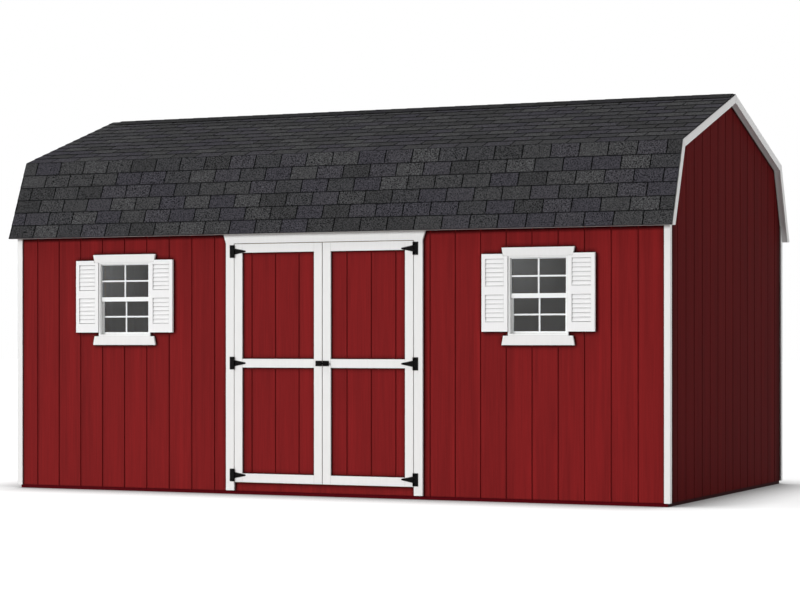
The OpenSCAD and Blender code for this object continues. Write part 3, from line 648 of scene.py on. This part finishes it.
for one in list(slopes):
    twin = put("slope_back", one.data.copy())
    twin.data.transform(Matrix.Rotation(math.pi, 4, "Z"))
    slopes.append(twin)
roof = joined("roof_shingles", slopes)
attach(roof, "shed")
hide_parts("shingles")
print(roof.name, len(roof.data.polygons), "faces")

# %% [markdown]
# Caps cut from the same shingles are bent over the ridge. Each covers the end of the one before, so
# they make a row of low steps along the ridge. A mesh line repeats one cap, and each gets its own
# blend of granules.

# %% Cap tree
cap_tree, line = start_tree("ridge_caps", {
    "Caps": "Int", "Step": "Float", "Start": "Float", "Lean": "Float", "Seed": "Int"})
start = add(cap_tree, "ShaderNodeCombineXYZ", {0: line["Start"]})[0]
step = add(cap_tree, "ShaderNodeCombineXYZ", {0: line["Step"]})[0]
row = add(cap_tree, "GeometryNodeMeshLine", {
    "Count": line["Caps"], "Start Location": start, "Offset": step})[0]
row = keep(cap_tree, row, "tab_tint", add(cap_tree, "FunctionNodeRandomValue", {"Seed": line["Seed"]})[1])
turn = add(cap_tree, "ShaderNodeCombineXYZ", {1: line["Lean"]})[0]
caps = add(cap_tree, "GeometryNodeInstanceOnPoints", {
    "Points": row, "Instance": line["Base"], "Rotation": turn})[0]
end_tree(cap_tree, caps, line["Finish"])

# %% [markdown]
# One cap is a bent slab with a soft crease. Its upper face is drawn darker, part of the way to black.

# %% Ridge caps
CAP_STEP = 143 * MM
CAP_L = CAP_STEP + 40 * MM
CAP_REACH, CAP_CREASE, CAP_T = 128 * MM, 14 * MM, 3.2 * MM
CAP_LIFT = 11 * MM    # from the deck's ridge up to where a cap's two sides would meet in a sharp bend
CREASE_SHARE = 0.45   # the soft crease lies lower than that by this share of its own fall
BENT_DARKENING = 0.6       # how far the cap's upper face is darkened towards black
CAP_LEAN = 0.012      # in radians, because each cap rests on the one before


def as_mesh(shape, name):
    """A mesh of this name from the shape, with its faces turned outwards."""
    bmesh.ops.recalc_face_normals(shape, faces=shape.faces)
    mesh = bpy.data.meshes.new(name)
    shape.to_mesh(mesh)
    shape.free()
    return mesh


def bent_cap():
    """Profile over the ridge, drawn out along x; its rim is cut felt."""
    fall = math.tan(math.atan2(RIDGE.y - KNEE.y, RIDGE.x - KNEE.x))
    top = RIDGE.y + CAP_LIFT
    under = [(-CAP_REACH, top - CAP_REACH * fall), (-CAP_CREASE, top - CAP_CREASE * fall),
             (0, top - CREASE_SHARE * CAP_CREASE * fall),
             (CAP_CREASE, top - CAP_CREASE * fall), (CAP_REACH, top - CAP_REACH * fall)]
    ring = under + [(y, z + CAP_T) for y, z in reversed(under)]
    shape = bmesh.new()
    rim = shape.faces.layers.float.new("black_share")
    clear = shape.faces.layers.float.new("under_butt")
    ends = [[shape.verts.new((x, y, z)) for y, z in ring] for x in (0, CAP_L)]
    for end in ends:
        for i in range(4):
            shape.faces.new((end[i], end[i + 1], end[8 - i], end[9 - i]))[rim] = 1
    for i in range(10):
        j = (i + 1) % 10
        face = shape.faces.new((ends[0][i], ends[0][j], ends[1][j], ends[1][i]))
        face[rim] = BENT_DARKENING if 4 < i < 9 else 1
        face[clear] = 1
    return as_mesh(shape, "bent_cap")


caps_along = math.floor((2 * HALF_ROOF - CAP_L) / CAP_STEP) + 1
cap_start = -(CAP_STEP * (caps_along - 1) + CAP_L) / 2
ridge = run_tree("ridge_caps", bent_cap(), cap_tree, {
    "Caps": caps_along, "Step": CAP_STEP, "Start": cap_start, "Lean": CAP_LEAN, "Seed": 3,
    "Finish": shingle})
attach(ridge, "shed")
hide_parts("ridge_cap")
print(ridge.name, caps_along, "caps")

# %% [markdown]
# A folded strip of white metal, the drip edge, covers the raw edge of the deck at both eaves and
# sheds the water clear of the board below. Its section is a thin angle, drawn out along the eave.

# %% Drip edges
DRIP_T, DRIP_TOP, DRIP_FACE = 0.8 * MM, 30 * MM, 9 * MM
up = (KNEE - EAVE).normalized()
outward = Vector((-up.y, up.x))


def prism(shape, near, far):
    """Close two rings of points to a bar with flat ends."""
    ends = [[shape.verts.new(point) for point in ring] for ring in (near, far)]
    shape.faces.new(ends[0])
    shape.faces.new(ends[1])
    for i in range(len(near)):
        j = (i + 1) % len(near)
        shape.faces.new((ends[0][i], ends[0][j], ends[1][j], ends[1][i]))


bend = EAVE - up * DRIP_T + outward * DRIP_T
angle = [bend, bend + up * DRIP_TOP, bend + up * DRIP_TOP - outward * DRIP_T,
         bend + up * DRIP_T - outward * DRIP_T, bend + up * DRIP_T - outward * DRIP_FACE,
         bend - outward * DRIP_FACE]
shape = bmesh.new()
for side in (1, -1):
    prism(shape, *([(x, side * p.x, p.y) for p in angle] for x in (-HALF_ROOF, HALF_ROOF)))
mesh = as_mesh(shape, "drip_edges")
mesh.materials.append(window_white)
drip = put("drip_edges", mesh)
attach(drip, "shed")
print(drip.name, len(drip.data.polygons), "faces")

# %% [markdown]
# Each sash is divided by bars that are stuck on both faces of its single pane. A bar has a flat face
# with chamfered edges. The profile is drawn once and laid along each bar's line; the upright one runs
# through and the level ones butt against it.

# %% Window bars
BAR_W, BAR_T, CHAMFER = 13 * MM, 6 * MM, 2 * MM
HALF_PANE_T = 2 * MM
# the middle of the pane in y, half its width, its foot, the level bar, its head
SASHES = ((-1515 * MM, 212.7 * MM, 1534 * MM, 1661 * MM, 1787.7 * MM),
          (-1496.7 * MM, 202.7 * MM, 1256.3 * MM, 1379 * MM, 1500 * MM))
half_bar = BAR_W / 2


def bar(shape, start, end, out):
    """One bar along x or z from start to end, standing out of the pane towards out (-1 or 1) in y."""
    along = (end - start).normalized()
    across = Vector((along.z, 0, -along.x))
    proud = Vector((0, out, 0))
    outline = [(-half_bar, 0), (-half_bar, BAR_T - CHAMFER), (-half_bar + CHAMFER, BAR_T),
               (half_bar - CHAMFER, BAR_T), (half_bar, BAR_T - CHAMFER), (half_bar, 0)]
    prism(shape, *([p + across * a + proud * b for a, b in outline] for p in (start, end)))


shape = bmesh.new()
for x in (-WINDOW_X, WINDOW_X):
    for y, half_w, z0, level, z1 in SASHES:
        for out in (-1, 1):
            face = y + out * HALF_PANE_T
            bar(shape, Vector((x, face, z0)), Vector((x, face, z1)), out)
            bar(shape, Vector((x - half_w, face, level)), Vector((x - half_bar, face, level)), out)
            bar(shape, Vector((x + half_bar, face, level)), Vector((x + half_w, face, level)), out)
mesh = as_mesh(shape, "window_bars")
mesh.materials.append(window_white)
bars = put("window_bars", mesh)
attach(bars, "shed")
print(bars.name, len(mesh.polygons), "faces")

# %% [markdown]
# The hinges and the latch are held by black pan-head screws. A tree sets one low, tapered head on
# each point.

# %% Screw tree
HEAD_TAPER = 0.62  # radius of a head's top over that of its foot
screw_tree, holes = start_tree("pan_head_screws", {"Head Radius": "Float", "Head Height": "Float"})
top_radius = maths(screw_tree, "MULTIPLY", holes["Head Radius"], HEAD_TAPER)
head = add(screw_tree, "GeometryNodeMeshCone", {
    "Vertices": 14, "Radius Top": top_radius, "Radius Bottom": holes["Head Radius"],
    "Depth": holes["Head Height"]})[0]
heads = add(screw_tree, "GeometryNodeInstanceOnPoints", {
    "Points": holes["Base"], "Instance": head, "Rotation": (math.radians(90), 0, 0)})[0]
end_tree(screw_tree, heads, holes["Finish"])

# %% [markdown]
# The holes of a hinge are the same on all six, measured from the pin: five in the plate on the
# casing and four in the strap on the leaf. The points of one body make one piece, so that the screws
# swing with their leaf.

# %% Screws
# all in millimetres
HINGE_X, HINGE_FACE, LATCH_FACE = 759.5, -1545.5, -1546
HINGE_Z = (149, 1015, 1878)
LATCH_Z = HINGE_Z[1]
LEAVES = ((-1, "left_door"), (1, "right_door"))
plate_holes = [(15, -36), (15, 36), (29, -36), (29, 0), (29, 36)]
strap_holes = [(-24, 9), (-24, -9), (-56, 0), (-86, 0)]
latch_holes = [(x, dz) for x in (24, 50) for dz in (-15, 15)]
screws = {"shed": [], "left_door": [], "right_door": []}
for z in HINGE_Z:
    for sign, leaf in LEAVES:
        screws["shed"] += [(sign * (HINGE_X + x), HINGE_FACE, z + dz) for x, dz in plate_holes]
        screws[leaf] += [(sign * (HINGE_X + x), HINGE_FACE, z + dz) for x, dz in strap_holes]
for sign, leaf in LEAVES:
    screws[leaf] += [(sign * x, LATCH_FACE, LATCH_Z + dz) for x, dz in latch_holes]
for body, points in screws.items():
    base = bpy.data.meshes.new("screw_points")
    base.from_pydata([Vector(p) * MM for p in points], [], [])
    piece = run_tree(body + "_screws", base, screw_tree, {
        "Head Radius": 3.6 * MM, "Head Height": 1.6 * MM, "Finish": powder_black})
    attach(piece, body)
    print(piece.name, len(points), "screws")

# %% [markdown]
# The shed stands in a white studio. A broad lamp high on the left is the key light; it throws the
# shadow to the right. A lower lamp in front lights the doors, a weak low one on the right keeps the
# white boards of the end wall bright, and an even world fills the shade. To the eye the world is
# white; the fill that it throws on the shed is much weaker.

# %% Lamps and world
FILL = 0.08


def seen_by_eye(tree):
    """1 for rays that show the background: from the camera, in a reflection or through glass."""
    ray = add(tree, "ShaderNodeLightPath")
    seen = maths(tree, "MAXIMUM", ray["Is Camera Ray"], ray["Is Glossy Ray"])
    return maths(tree, "MAXIMUM", seen, ray["Is Transmission Ray"])


world = bpy.data.worlds.new("white_studio")
bpy.context.scene.world = world
world.use_nodes = True
tree = world.node_tree
tree.nodes.clear()
strength = ramp(tree, seen_by_eye(tree), 0.0, 1.0, FILL, 1.0)
sky = add(tree, "ShaderNodeBackground", {"Color": (1, 1, 1, 1), "Strength": strength})
add(tree, "ShaderNodeOutputWorld", {"Surface": sky[0]})

# name, power, spread in degrees, the direction that the light comes from
for name, power, spread, source in (("key", 2.2, 40, Vector((-0.98, -0.21, 0.8))),
                                    ("front", 1.93, 16, Vector((-0.85, -1, 0.28))),
                                    ("side", 1.15, 40, Vector((1, -0.15, 0.2)))):
    lamp = bpy.data.lights.new(name, "SUN")
    lamp.energy = power
    lamp.angle = math.radians(spread)
    put(name, lamp).rotation_euler = (-source).to_track_quat("-Z", "Y").to_euler()
    print(name, "lamp:", power)
print("fill:", FILL)

# %% [markdown]
# The floor takes the lamps' shadow like any matt surface. In the camera's view it also glows, so
# that it is white where it is lit; within reach of a wall the glow is weaker, a painted shadow at the
# foot of the walls.

# %% Floor
WALL_SHADE_REACH, WALL_SHADE_SHUT = 0.65, 0.5  # how far a wall shades the floor; occlusion at its foot
GLOW_AT_WALL, GLOW = 0.14, 0.84
pale_floor, tree = finish("pale_studio_floor")
seen = seen_by_eye(tree)
matt = add(tree, "ShaderNodeBsdfDiffuse", {
    "Color": blend(tree, seen, linear("D8D8D8"), linear("A0A0A0"))})
occlusion = add(tree, "ShaderNodeAmbientOcclusion", {"Distance": WALL_SHADE_REACH}, samples=16)["AO"]
# painted shadow: less glow within reach of a wall
glow = ramp(tree, occlusion, WALL_SHADE_SHUT, 1.0, GLOW_AT_WALL, GLOW)
lit = add(tree, "ShaderNodeEmission", {
    "Color": (1, 1, 1, 1), "Strength": maths(tree, "MULTIPLY", glow, seen)})
both = add(tree, "ShaderNodeAddShader", {0: matt[0], 1: lit[0]})
add(tree, "ShaderNodeOutputMaterial", {"Surface": both[0]})
mesh = bpy.data.meshes.new("studio_floor")
mesh.from_pydata([(-90, -60, 0), (90, -60, 0), (90, 120, 0), (-90, 120, 0)], [], [(0, 1, 2, 3)])
mesh.materials.append(pale_floor)
floor = put("studio_floor", mesh)
print(floor.name, "with", pale_floor.name)
